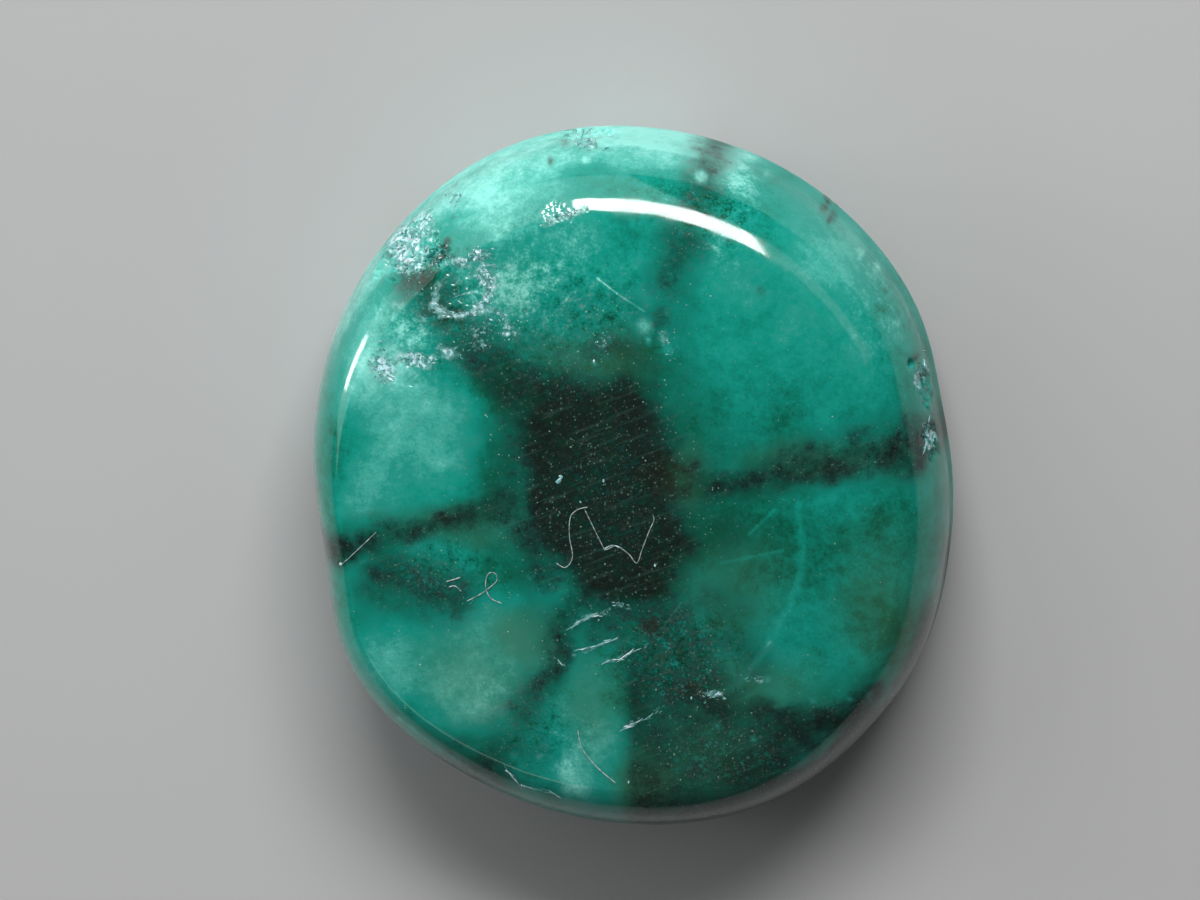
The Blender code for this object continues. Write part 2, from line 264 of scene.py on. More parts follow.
# What the crystal shows: dark matter and tints stand as columns all the way through it.
pattern = {
    "corePolygon": (
        (-1.10, 1.28), (-0.76, 1.46), (-0.36, 1.38), (0.08, 1.44), (0.40, 1.16), (0.54, 0.76), (0.84, 0.40),
        (0.68, 0.04), (0.84, -0.36), (0.66, -0.62), (0.66, -1.04), (0.10, -1.14), (-0.52, -1.12),
        (-0.74, -0.60), (-1.00, -0.22), (-1.14, 0.10), (-1.04, 0.40), (-1.16, 0.80),
    ),
    "coreSoftness": 0.30,
    "haloSoftness": 0.80,    # a faint halo around the core
    "haloStrength": 0.63,
    "bottomPolygon": ((0.05, -1.37), (0.69, -1.69), (1.24, -2.00), (1.78, -2.43), (1.46, -2.97), (0.90, -3.7), (0.03, -3.7)),
    "bottomSoftness": 0.11,
    "bottomStrength": 0.78,
    # dark stretches: from, to, half width at each end, softness, strength
    "arms": (
        ((-1.02, 1.16), (-1.50, 1.62), 0.26, 0.20, 0.9, 0.84),
        ((-1.50, 1.62), (-1.85, 1.98), 0.19, 0.15, 0.9, 0.72),
        ((-1.85, 2.02), (-2.20, 2.24), 0.20, 0.18, 0.95, 0.80),
        ((-1.78, 2.60), (-1.86, 2.50), 0.03, 0.05, 0.9, 0.85),
        ((-1.86, 2.48), (-1.98, 2.36), 0.05, 0.04, 0.9, 0.90),
        ((-1.86, 2.52), (-1.74, 2.45), 0.04, 0.03, 0.8, 0.85),
        ((-0.30, 1.20), (-0.20, 1.50), 0.55, 0.40, 0.95, 0.58),
        ((0.15, 1.45), (0.42, 1.90), 0.16, 0.12, 0.9, 0.60),
        ((0.42, 1.90), (0.47, 2.21), 0.12, 0.14, 0.95, 0.42),
        ((0.47, 2.26), (0.56, 2.60), 0.18, 0.22, 0.95, 0.60),
        ((0.64, 2.86), (0.76, 3.12), 0.14, 0.18, 0.9, 0.66),
        ((0.76, 3.14), (0.84, 3.48), 0.19, 0.18, 0.9, 0.82),
        ((0.70, 0.18), (1.25, 0.27), 0.20, 0.13, 0.95, 0.80),
        ((1.25, 0.29), (1.80, 0.42), 0.20, 0.21, 0.95, 0.80),
        ((1.80, 0.42), (2.29, 0.51), 0.22, 0.24, 0.95, 0.84),
        ((2.29, 0.51), (2.94, 0.62), 0.25, 0.24, 0.95, 0.86),
        ((2.94, 0.62), (3.30, 0.66), 0.20, 0.17, 0.9, 0.82),
        ((0.72, -0.02), (1.05, -0.30), 0.30, 0.22, 0.95, 0.42),
        ((-0.25, -1.15), (0.25, -1.22), 0.22, 0.24, 0.95, 0.55),
        ((-1.30, 1.55), (-0.60, 1.50), 0.26, 0.30, 0.95, 0.36),
        ((-0.60, 1.55), (0.20, 1.50), 0.30, 0.30, 0.95, 0.47),
        ((0.45, 1.05), (0.62, 0.60), 0.30, 0.26, 0.95, 0.40),
        ((-0.85, -0.05), (-0.80, -0.62), 0.24, 0.26, 0.95, 0.82),
        # these two also paint shade: darker green under the upper-left break's ledge and below its ring crack, over the
        # dark arm
        ((-2.16, 2.32), (-1.95, 2.16), 0.08, 0.11, 0.9, 0.55),
        ((-1.76, 1.93), (-1.62, 1.83), 0.09, 0.08, 0.8, 0.85),
        ((-0.95, 1.75), (0.35, 1.80), 0.34, 0.30, 0.95, 0.28),
        ((-0.30, 1.62), (0.10, 1.55), 0.16, 0.16, 0.95, 0.66),
        ((0.92, -1.15), (1.25, -1.55), 0.34, 0.26, 0.95, 0.48),
        ((1.10, -2.70), (2.35, -2.05), 0.30, 0.22, 0.9, 0.95),
        ((0.70, -1.88), (0.98, -2.12), 0.24, 0.22, 0.95, 0.95),
        ((1.25, -2.10), (1.60, -2.22), 0.18, 0.16, 0.9, 0.85),
        ((0.20, -0.95), (0.62, -1.50), 0.38, 0.50, 0.9, 0.80),
        ((0.60, -1.50), (0.88, -1.88), 0.46, 0.34, 0.9, 0.84),
        ((0.30, -1.55), (0.60, -1.95), 0.30, 0.30, 0.9, 0.84),
        ((1.50, -2.28), (2.45, -2.04), 0.17, 0.19, 0.9, 0.88),
        ((2.52, -1.83), (2.56, -1.95), 0.07, 0.09, 0.8, 0.90),
        ((-0.51, -0.97), (-0.65, -1.49), 0.20, 0.13, 0.95, 0.72),
        ((-0.66, -1.50), (-0.98, -2.11), 0.14, 0.18, 0.95, 0.66),
        ((-0.98, -2.11), (-1.28, -2.46), 0.18, 0.32, 0.9, 0.50),
        ((-1.20, -2.52), (-1.75, -2.68), 0.28, 0.26, 0.95, 0.50),
        ((-1.40, -2.75), (-1.84, -2.92), 0.28, 0.24, 0.9, 0.76),
        ((-1.08, -0.02), (-1.69, -0.15), 0.22, 0.18, 0.95, 0.80),
        ((-1.69, -0.17), (-2.22, -0.32), 0.18, 0.15, 0.95, 0.84),
        ((-2.22, -0.36), (-2.80, -0.50), 0.17, 0.20, 0.9, 0.80),
        ((-2.80, -0.52), (-3.20, -0.66), 0.21, 0.24, 0.8, 0.92),
        ((-2.35, -0.82), (-1.65, -0.98), 0.29, 0.25, 0.95, 0.80),
        ((-2.50, -0.50), (-2.25, -0.80), 0.18, 0.18, 0.95, 0.70),
    ),
    # dark matter along the rim, partly painted shade where the lower-right shoulder faces away from the light: from and
    # to in degrees, up to a height, softness, strength
    "rimDarkAndShade": (
        (-82.0, -38.0, 2.00, 0.22, 0.92),
        (-38.0, -20.0, 1.80, 0.25, 0.85),
        (-20.0, -8.0, 1.50, 0.25, 0.80),
    ),
    # tints, from 0 deep through vivid and milky to 1 pale mint; besides the stone's own sectors they hold painted
    # light, paler towards the upper left and the top where the light falls
    "plainTint": 0.40,
    "broadClouds": 0.10,
    "blotches": 0.05,
    "tints": (
        ((-2.00, 0.75), (0.95, 0.85), 0.78, 0.9),
        ((-2.42, 1.34), (0.60, 0.62), 1.00, 0.9),
        ((-2.48, 0.12), (0.45, 0.55), 0.74, 0.8),
        ((-2.25, 1.85), (0.60, 0.60), 0.70, 0.8),
        ((-1.20, 3.05), (0.90, 0.55), 0.80, 0.8),
        ((-0.70, 2.70), (0.90, 0.55), 0.74, 0.8),
        ((-1.42, -1.72), (0.85, 0.75), 0.74, 0.9),
        ((-2.30, -1.75), (0.55, 0.60), 0.78, 0.85),
        ((-1.55, -1.97), (0.60, 0.45), 0.84, 0.85),
        ((-0.52, -2.85), (0.38, 0.50), 1.00, 0.9),
        ((-0.31, -2.40), (0.42, 0.95), 0.68, 0.9),
        ((-1.41, -0.99), (0.60, 0.40), 0.58, 0.6),
        ((2.71, 1.93), (0.50, 0.80), 0.52, 0.7),
        ((1.69, -1.80), (0.45, 0.40), 0.32, 0.8),
        ((0.99, 2.10), (0.60, 0.60), 0.46, 0.6),
        ((2.32, 2.25), (0.60, 0.70), 0.62, 0.8),
        ((1.78, 2.85), (0.50, 0.40), 0.62, 0.8),
        ((1.95, 1.60), (0.90, 0.80), 0.55, 0.9),
        ((1.45, 0.95), (1.00, 0.75), 0.31, 0.8),
        ((2.60, -1.20), (0.60, 0.80), 0.13, 0.9),
        ((-1.75, 2.05), (0.90, 0.80), 0.66, 0.7),
        ((2.30, -0.60), (0.90, 0.70), 0.21, 0.9),
        ((1.20, -0.30), (1.20, 1.00), 0.15, 0.85),
        ((-2.92, 0.40), (0.16, 1.00), 0.32, 0.9),
        ((-2.80, -1.15), (0.35, 0.60), 0.34, 0.8),
        ((-0.88, 2.15), (0.75, 0.55), 0.62, 0.8),
        ((0.20, 2.20), (0.50, 0.45), 0.50, 0.7),
        ((0.90, 0.72), (0.80, 0.65), 0.26, 0.85),
        ((-1.20, 1.10), (0.48, 0.55), 0.06, 0.85),
        ((-1.22, 0.30), (0.36, 0.60), 0.12, 0.80),
        ((-1.22, -0.60), (0.40, 0.42), 0.12, 0.80),
        ((0.20, 1.40), (0.60, 0.45), 0.12, 0.80),
        ((2.80, -0.15), (0.50, 0.60), 0.16, 0.80),
        ((0.05, -1.95), (0.36, 0.42), 0.16, 0.75),
        ((1.19, 2.32), (0.60, 0.50), 0.62, 0.80),
        ((1.99, 2.50), (0.50, 0.50), 0.74, 0.85),
        # these two are painted light, brightening the upper left towards the top
        ((-1.20, 2.12), (0.50, 0.45), 1.00, 0.85),
        ((-1.55, 3.10), (0.90, 0.60), 0.96, 0.90),
        # these two are painted shade under the upper-left break's ledge and below its ring crack, over the dark arm
        ((-2.06, 2.24), (0.24, 0.17), 0.02, 0.90),
        ((-1.70, 1.88), (0.16, 0.12), 0.02, 0.80),
        ((-2.20, 1.66), (0.50, 0.40), 0.80, 0.70),
        ((-1.10, -1.38), (0.35, 0.30), 0.66, 0.70),
    ),
    # painted light along the rim: a pale glow where light falls on and comes through the upper-left and top shoulder, a
    # painted reflection on the left rim, a painted bright edge on the right, and a paler lower-left rim that offsets
    # its shade: from and to in degrees, up to a height, softness, tint, strength
    "rimPaintedLight": (
        (68.0, 155.0, 1.80, 0.25, 0.92, 0.85),
        (72.0, 102.0, 1.45, 0.10, 1.00, 0.9),
        (150.0, 182.0, 1.25, 0.15, 0.95, 0.8),
        (195.0, 262.0, 1.70, 0.25, 0.72, 0.7),
        (-11.0, -1.0, 1.00, 0.10, 0.95, 0.7),
    ),
    # painted highlights as soft pale lines, a faint arc on the lower right and the lit ridge on the lower left:
    # corners, half width, strength
    "paleHighlightLines": (
        (((1.77, 0.05), (1.80, -0.49), (1.70, -0.95), (1.48, -1.36)), 0.055, 0.16),
        (((1.48, -1.36), (1.21, -1.77), (0.90, -1.97)), 0.050, 0.24),
        (((-2.26, -2.31), (-1.54, -2.82)), 0.055, 0.40),
    ),
    # small spots: middle, radius, strength
    "darkSpots": (
        ((-0.77, 3.33), 0.055, 0.8), ((-0.96, 1.95), 0.035, 1.0), ((2.01, 2.75), 0.06, 0.8),
        ((2.88, 1.41), 0.060, 1.0), ((3.07, 0.58), 0.05, 0.9), ((3.03, 0.98), 0.03, 0.8),
    ),
    "rustSpots": (
        ((1.36, 2.18), 0.065, 0.9), ((1.94, 2.84), 0.08, 0.9), ((-0.66, 3.49), 0.09, 0.8),
        ((0.52, 0.30), 0.30, 0.5), ((0.31, -1.21), 0.16, 0.8), ((0.67, -1.84), 0.14, 0.5),
    ),
    "paleSpots": (
        ((2.31, 2.42), 0.07, 0.5), ((2.47, 2.26), 0.08, 0.5), ((2.67, 1.74), 0.09, 0.5), ((1.38, 3.18), 0.07, 0.8),
        ((0.74, 3.22), 0.09, 0.9), ((-0.42, 3.37), 0.05, 0.8), ((0.46, 1.59), 0.08, 0.6), ((0.24, 1.80), 0.15, 0.80), ((0.27, 1.68), 0.06, 0.9),
        ((-0.27, 1.46), 0.04, 0.8), ((1.44, -1.75), 0.07, 0.6), ((1.31, -2.38), 0.05, 0.7), ((0.95, -2.26), 0.05, 0.7),
        ((1.91, -1.98), 0.05, 0.6), ((2.26, -1.96), 0.04, 0.7), ((-1.10, -2.60), 0.08, 0.4), ((-0.85, -2.62), 0.06, 0.4),
    ),
    # where a yellowish veil dulls the green: middle, radii, strength
    "olive": (
        ((-1.45, -1.75), (1.0, 0.7), 0.34), ((-0.98, -1.38), (0.50, 0.45), 0.50), ((-0.30, -2.00), (0.5, 0.8), 0.36),
        ((0.66, 0.30), (0.30, 0.45), 0.45), ((-0.30, 1.50), (0.9, 0.40), 0.34), ((1.35, -1.90), (1.0, 0.6), 0.34),
        ((2.00, 0.48), (1.2, 0.30), 0.34), ((0.80, -2.60), (1.1, 0.8), 0.34), ((0.25, -2.90), (0.45, 0.7), 0.60), ((1.10, -0.80), (0.9, 0.8), 0.20),
        ((-1.60, -0.20), (1.2, 0.35), 0.30), ((2.60, -1.00), (0.8, 1.2), 0.25), ((-1.20, 2.20), (0.6, 0.5), 0.15),
    ),
    # where the crystal is most clouded and grainy: middle, radii, strength
    "busy": (
        ((0.55, -1.75), (0.6, 0.55), 1.0),
        ((-0.75, 1.85), (1.5, 1.2), 0.75), ((0.60, -1.55), (1.1, 0.9), 1.0), ((0.95, -2.60), (1.2, 0.7), 0.8),
        ((-1.75, 2.00), (0.9, 0.9), 0.9), ((-0.10, 0.15), (1.3, 1.5), 0.22), ((-1.90, -0.75), (0.9, 0.5), 0.6),
        ((0.80, 2.90), (0.8, 0.6), 0.8), ((2.60, 2.00), (0.5, 1.0), 0.5), ((-0.90, -2.30), (0.8, 0.8), 0.5),
    ),
}


def smooth(values):
    values = np.clip(values, 0, 1)
    return values * values * (3 - 2 * values)


def stretchDistance(points, start, end):
    start, along = np.array(start), np.array(end) - np.array(start)
    share = np.clip((points - start) @ along / (along @ along), 0, 1)
    return np.linalg.norm(points - start - share[:, None] * along, axis=1), share


def polygonMask(points, corners, softness):
    # 1 inside, fading to 0 across the edge.
    inside = np.zeros(len(points), bool)
    distance = np.full(len(points), 1e9)
    for (x0, y0), (x1, y1) in zip(corners, corners[1:] + corners[:1]):
        distance = np.minimum(distance, stretchDistance(points, (x0, y0), (x1, y1))[0])
        spans = (y0 > points[:, 1]) != (y1 > points[:, 1])
        inside ^= spans & (points[:, 0] < (x1 - x0) * (points[:, 1] - y0) / (y1 - y0 + 1e-12) + x0)
    return smooth(0.5 + np.where(inside, distance, -distance) / (2 * softness))


def ovalMask(points, centre, radii, core=0.1):
    away = np.linalg.norm((points - np.array(centre)) / np.array(radii), axis=1)
    return smooth((1 - away) / (1 - core))


def rimMask(points, heights, start, end, top, softness):
    degrees = np.degrees(np.arctan2(points[:, 1], points[:, 0]))
    middle, half = (start + end) / 2, (end - start) / 2
    off = np.abs((degrees - middle + 180) % 360 - 180)
    return smooth((half - off) / 8 + 0.5) * smooth((top - heights) / softness + 0.5)


def paintStone(bm):
    bm.verts.ensure_lookup_table()
    place = np.array([vert.co[:] for vert in bm.verts])
    warp = np.array([noise.noise_vector(v.co * 1.7) * 0.15 + noise.noise_vector(v.co * 7) * 0.05 for v in bm.verts])
    flat = (place + warp)[:, :2]
    exact = (place + warp * 0.2)[:, :2]
    heights = place[:, 2] + warp[:, 2]

    dark = polygonMask(flat, pattern["corePolygon"], pattern["coreSoftness"])
    halo = polygonMask(flat, pattern["corePolygon"], pattern["haloSoftness"]) * pattern["haloStrength"]
    dark = np.maximum(dark, halo)
    bottom = polygonMask(exact, pattern["bottomPolygon"], pattern["bottomSoftness"]) * pattern["bottomStrength"]
    dark = np.maximum(dark, bottom)
    for start, end, startWidth, endWidth, softness, strength in pattern["arms"]:
        distance, share = stretchDistance(flat, start, end)
        width = startWidth + (endWidth - startWidth) * share
        edge = smooth((width * (1 + softness) - distance) / (2 * width * softness))
        dark = np.maximum(dark, edge * strength)
    # dark matter along the lower-right rim, deepened with painted shade
    for start, end, top, softness, strength in pattern["rimDarkAndShade"]:
        dark = np.maximum(dark, rimMask(flat, heights, start, end, top, softness) * strength)
    for centre, radius, strength in pattern["darkSpots"]:
        dark = np.maximum(dark, ovalMask(exact, centre, (radius, radius)) * strength)

    tint = np.full(len(place), pattern["plainTint"])
    # the stone's own tints, with painted light brighter towards the upper left and the top
    for centre, radii, value, strength in pattern["tints"]:
        tint += (value - tint) * ovalMask(flat, centre, radii, 0.2) * strength
    # paler rim where light falls and shines through, painted into the tint
    for start, end, top, softness, value, strength in pattern["rimPaintedLight"]:
        tint += (value - tint) * rimMask(flat, heights, start, end, top, softness) * strength
    # painted highlights: soft pale lines added to the tint
    for corners, width, strength in pattern["paleHighlightLines"]:
        away = np.min([stretchDistance(exact, start, end)[0] for start, end in zip(corners, corners[1:])], axis=0)
        tint += smooth(1 - away / width) * strength
    rust = np.zeros(len(place))
    for centre, radius, strength in pattern["rustSpots"]:
        rust = np.maximum(rust, ovalMask(exact, centre, (radius, radius)) * strength)
    pale = np.zeros(len(place))
    for centre, radius, strength in pattern["paleSpots"]:
        pale = np.maximum(pale, ovalMask(exact, centre, (radius, radius)) * strength)
    ragged = (place + warp * 0.5)[:, :2]
    broken = np.zeros(len(place))
    for centre, radii, strength in cracks["patches"]:
        broken = np.maximum(broken, ovalMask(ragged, centre, radii) * strength)
    for corners, width, strength in cracks["lines"]:
        for start, end in zip(corners, corners[1:]):
            near = smooth(1 - stretchDistance(ragged, start, end)[0] / width)
            broken = np.maximum(broken, near * strength)
    busy = np.zeros(len(place))
    for centre, radii, strength in pattern["busy"]:
        busy = np.maximum(busy, ovalMask(flat, centre, radii) * strength)
    olive = np.zeros(len(place))
    for centre, radii, strength in pattern["olive"]:
        olive = np.maximum(olive, ovalMask(flat, centre, radii) * strength)
    # the columns reach the lower side and the back, where nothing is broken
    above = smooth((place[:, 2] + warp[:, 0] * 2 - 1.0) / 0.35)
    broken *= above
    broad = np.array([noise.fractal(v.co * 2.2, 0.9, 2.2, 3) for v in bm.verts])
    blotch = np.array([noise.fractal(v.co * 4.5 + Vector((5, 2, 0)), 0.9, 2.2, 3) for v in bm.verts])
    tint += broad * pattern["broadClouds"] + blotch * pattern["blotches"] * (1 + 1.5 * busy)
    dark = np.clip(dark + dark * (1 - dark) * blotch * 1.0, 0, 1) * (1 - 0.8 * pale)
    painted = {"olive": olive, "blotch": blotch, "dark": dark, "tint": tint, "rust": rust, "pale": pale * above, "broken": broken, "busy": busy}
    for name, values in painted.items():
        layer = bm.verts.layers.float.new(name)
        for vert, value in zip(bm.verts, values.tolist()):
            vert[layer] = value


paintStone(stoneMesh)


def addNode(tree, kind, **settings):
    node = tree.nodes.new(kind)
    for name, value in settings.items():
        setattr(node, name, value)
    return node


def feed(tree, socket, value):
    # A socket is fed by another socket, or set to a plain number or vector.
    if isinstance(value, bpy.types.NodeSocket):
        tree.links.new(value, socket)
    elif value is not None:
        socket.default_value = value


def calc(tree, operation, *values, clamp=False):
    node = addNode(tree, "ShaderNodeMath", operation=operation, use_clamp=clamp)
    for socket, value in zip(node.inputs, values):
        feed(tree, socket, value)
    return node.outputs[0]


def vectorCalc(tree, operation, *values, result="Vector"):
    node = addNode(tree, "ShaderNodeVectorMath", operation=operation)
    for socket, value in zip(node.inputs, values):
        feed(tree, socket, value)
    return node.outputs[result]


def fade(tree, value, fromMin, fromMax, toMin=0.0, toMax=1.0, smooth=True):
    node = addNode(tree, "ShaderNodeMapRange", interpolation_type="SMOOTHSTEP" if smooth else "LINEAR")
    given = {"Value": value, "From Min": fromMin, "From Max": fromMax, "To Min": toMin, "To Max": toMax}
    for name, amount in given.items():
        feed(tree, node.inputs[name], amount)
    return node.outputs["Result"]


def mixColour(tree, share, first, second):
    node = addNode(tree, "ShaderNodeMix", data_type="RGBA")
    feed(tree, node.inputs["Factor"], share)
    for socket, colour in ((node.inputs["A"], first), (node.inputs["B"], second)):
        feed(tree, socket, colour if isinstance(colour, bpy.types.NodeSocket) else (*colour, 1))
    return node.outputs["Result"]


def colourRamp(tree, value, stops):
    ramp = addNode(tree, "ShaderNodeValToRGB")
    feed(tree, ramp.inputs["Fac"], value)
    elements = ramp.color_ramp.elements
    while len(elements) < len(stops):
        elements.new(0.5)
    for element, (place, colour) in zip(elements, stops):
        element.position = place
        element.color = (*colour, 1)
    return ramp.outputs["Color"]


def cloud(tree, point, size, detail=2.0, roughness=0.5, offset=None):
    # Noise whose lumps are about size millimetres across.
    if offset:
        point = vectorCalc(tree, "ADD", point, offset)
    node = addNode(tree, "ShaderNodeTexNoise", noise_dimensions="3D")
    feed(tree, node.inputs["Vector"], point)
    node.inputs["Scale"].default_value = 1 / size
    node.inputs["Detail"].default_value = detail
    node.inputs["Roughness"].default_value = roughness
    return node.outputs["Fac"]


def attribute(tree, name):
    return addNode(tree, "ShaderNodeAttribute", attribute_name=name).outputs["Fac"]


def millimetres(tree):
    # Object coordinates, in millimetres from the star's axis.
    place = addNode(tree, "ShaderNodeMapping")
    feed(tree, place.inputs["Vector"], addNode(tree, "ShaderNodeTexCoord").outputs["Object"])
    place.inputs["Scale"].default_value = (1 / scale,) * 3
    place.inputs["Location"].default_value = -axisPoint / scale
    return place.outputs["Vector"]


def newGroup(name, inputs, outputs):
    group = bpy.data.node_groups.new(name, "ShaderNodeTree")
    for label, kind, value in inputs:
        socket = group.interface.new_socket(name=label, in_out="INPUT", socket_type="NodeSocket" + kind)
        if value is not None:
            socket.default_value = value
    for label, kind in outputs:
        group.interface.new_socket(name=label, in_out="OUTPUT", socket_type="NodeSocket" + kind)
    source = group.nodes.new("NodeGroupInput").outputs
    sink = group.nodes.new("NodeGroupOutput").inputs
    return group, source, sink


def useGroup(tree, group, **values):
    node = addNode(tree, "ShaderNodeGroup", node_tree=group)
    for label, value in values.items():
        feed(tree, node.inputs[label], value)
    return node.outputs


def makeSpeckGroup():
    # Scattered round specks: share is the part of the cells that hold one.
    group, source, sink = newGroup(
        "specks",
        [("point", "Vector", None), ("spacing", "Float", 0.1), ("size", "Float", 0.2), ("share", "Float", 0.3)],
        [("mask", "Float")],
    )
    cells = addNode(group, "ShaderNodeTexVoronoi", feature="F1")
    feed(group, cells.inputs["Vector"], source["point"])
    feed(group, cells.inputs["Scale"], calc(group, "DIVIDE", 1.0, source["spacing"]))
    inner = calc(group, "MULTIPLY", source["size"], 0.4)
    dot = fade(group, cells.outputs["Distance"], source["size"], inner, 0.0, 1.0)
    pick = addNode(group, "ShaderNodeSeparateColor")
    feed(group, pick.inputs[0], cells.outputs["Color"])
    chosen = calc(group, "LESS_THAN", pick.outputs[0], source["share"])
    feed(group, sink["mask"], calc(group, "MULTIPLY", calc(group, "MULTIPLY", dot, chosen), pick.outputs[1]))
    return group


def makeScratchGroup():
    # A soft pale line on the surface from one point to another.
    group, source, sink = newGroup(
        "scratch",
        [("point", "Vector", None), ("start", "Vector", None), ("end", "Vector", None), ("width", "Float", 0.02),
         ("strength", "Float", 0.5)],
        [("mask", "Float")],
    )
    flat = vectorCalc(group, "MULTIPLY", vectorCalc(group, "SUBTRACT", source["point"], source["start"]), (1, 1, 0))
    along = vectorCalc(group, "SUBTRACT", source["end"], source["start"])
    across = vectorCalc(group, "DOT_PRODUCT", flat, along, result="Value")
    whole = vectorCalc(group, "DOT_PRODUCT", along, along, result="Value")
    nearest = addNode(group, "ShaderNodeVectorMath", operation="SCALE")
    feed(group, nearest.inputs[0], along)
    feed(group, nearest.inputs["Scale"], calc(group, "DIVIDE", across, whole, clamp=True))
    distance = vectorCalc(group, "DISTANCE", flat, nearest.outputs[0], result="Value")
    feed(group, sink["mask"], fade(group, distance, 0.0, source["width"], source["strength"], 0.0))
    return group


def makeFacetGroup():
    # Broken crystal: each small facet has its own brightness and its own lean.
    group, source, sink = newGroup(
        "facets",
        [("point", "Vector", None), ("size", "Float", 0.05)],
        [("brightness", "Float"), ("height", "Float")],
    )
    cells = addNode(group, "ShaderNodeTexVoronoi", feature="F1")
    feed(group, cells.inputs["Vector"], source["point"])
    feed(group, cells.inputs["Scale"], calc(group, "DIVIDE", 1.0, source["size"]))
    pick = addNode(group, "ShaderNodeSeparateColor")
    feed(group, pick.inputs[0], cells.outputs["Color"])
    feed(group, sink["brightness"], pick.outputs[0])
    feed(group, sink["height"], calc(group, "MULTIPLY", cells.outputs["Distance"], pick.outputs[1]))
    return group


def makeHairlineGroup():
    # Fine polishing hairlines that run one way.
    group, source, sink = newGroup(
        "hairlines",
        [("point", "Vector", None), ("angle", "Float", 0.0), ("size", "Float", 0.03)],
        [("mask", "Float")],
    )
    turned = addNode(group, "ShaderNodeVectorRotate", rotation_type="Z_AXIS")
    feed(group, turned.inputs["Vector"], source["point"])
    feed(group, turned.inputs["Angle"], source["angle"])
    drawn = vectorCalc(group, "MULTIPLY", turned.outputs[0], (0.07, 1.0, 0.3))
    lines = addNode(group, "ShaderNodeTexNoise", noise_dimensions="3D")
    feed(group, lines.inputs["Vector"], drawn)
    feed(group, lines.inputs["Scale"], calc(group, "DIVIDE", 1.0, source["size"]))
    lines.inputs["Detail"].default_value = 1.0
    feed(group, sink["mask"], fade(group, lines.outputs["Fac"], 0.58, 0.74))
    return group


speckGroup = makeSpeckGroup()
hairlineGroup = makeHairlineGroup()
scratchGroup = makeScratchGroup()
facetGroup = makeFacetGroup()

beryl = {
    # tint from deep through vivid and milky to pale mint
    "tints": (
        (0.00, (0.0010, 0.060, 0.033)),
        (0.15, (0.0014, 0.120, 0.073)),
        (0.36, (0.0032, 0.245, 0.182)),
        (0.48, (0.0060, 0.300, 0.238)),
        (0.62, (0.0220, 0.320, 0.258)),
        (0.80, (0.0880, 0.445, 0.375)),
        (1.00, (0.2500, 0.680, 0.600)),
    ),
    # dark matter from thin to dense
    "soots": (
        (0.00, (0.0010, 0.050, 0.024)),
        (0.50, (0.0018, 0.028, 0.012)),
        (0.85, (0.0030, 0.014, 0.008)),
        (1.00, (0.0050, 0.007, 0.005)),
    ),
    "veil": (0.070, 0.170, 0.085),
    "rust": (0.022, 0.013, 0.006),
    "dust": (0.048, 0.105, 0.080),
    "speck": (0.16, 0.36, 0.28),
    # broken crystal from its shaded to its brightest crumbs
    "crumbs": (
        (0.00, (0.010, 0.100, 0.085)),
        (0.40, (0.060, 0.300, 0.260)),
        (0.75, (0.220, 0.500, 0.470)),
        (1.00, (0.640, 0.860, 0.930)),
    ),
    "roughness": (0.09, 0.30),   # of the polished surface, and of broken crystal
    "matte": 0.55,               # of the ground side, which the polish doesn't reach
    "matteHeights": (1.00, 1.50),
    # narrow scratches: from, to, width, strength
    "scratches": (
        ((1.27, -0.26), (1.52, -0.01), 0.030, 0.15),
        ((1.00, -0.55), (1.61, -0.42), 0.030, 0.12),
        ((0.40, -1.25), (0.60, -0.96), 0.016, 0.40),
        ((-0.25, 2.28), (-0.05, 2.13), 0.018, 0.45),
        ((-0.05, 2.13), (0.22, 1.96), 0.018, 0.35),
    ),
    "subsurfaceScale": 0.00022,
    "subsurfaceRadius": (0.35, 1.0, 0.85),
    "ior": 1.58,
}


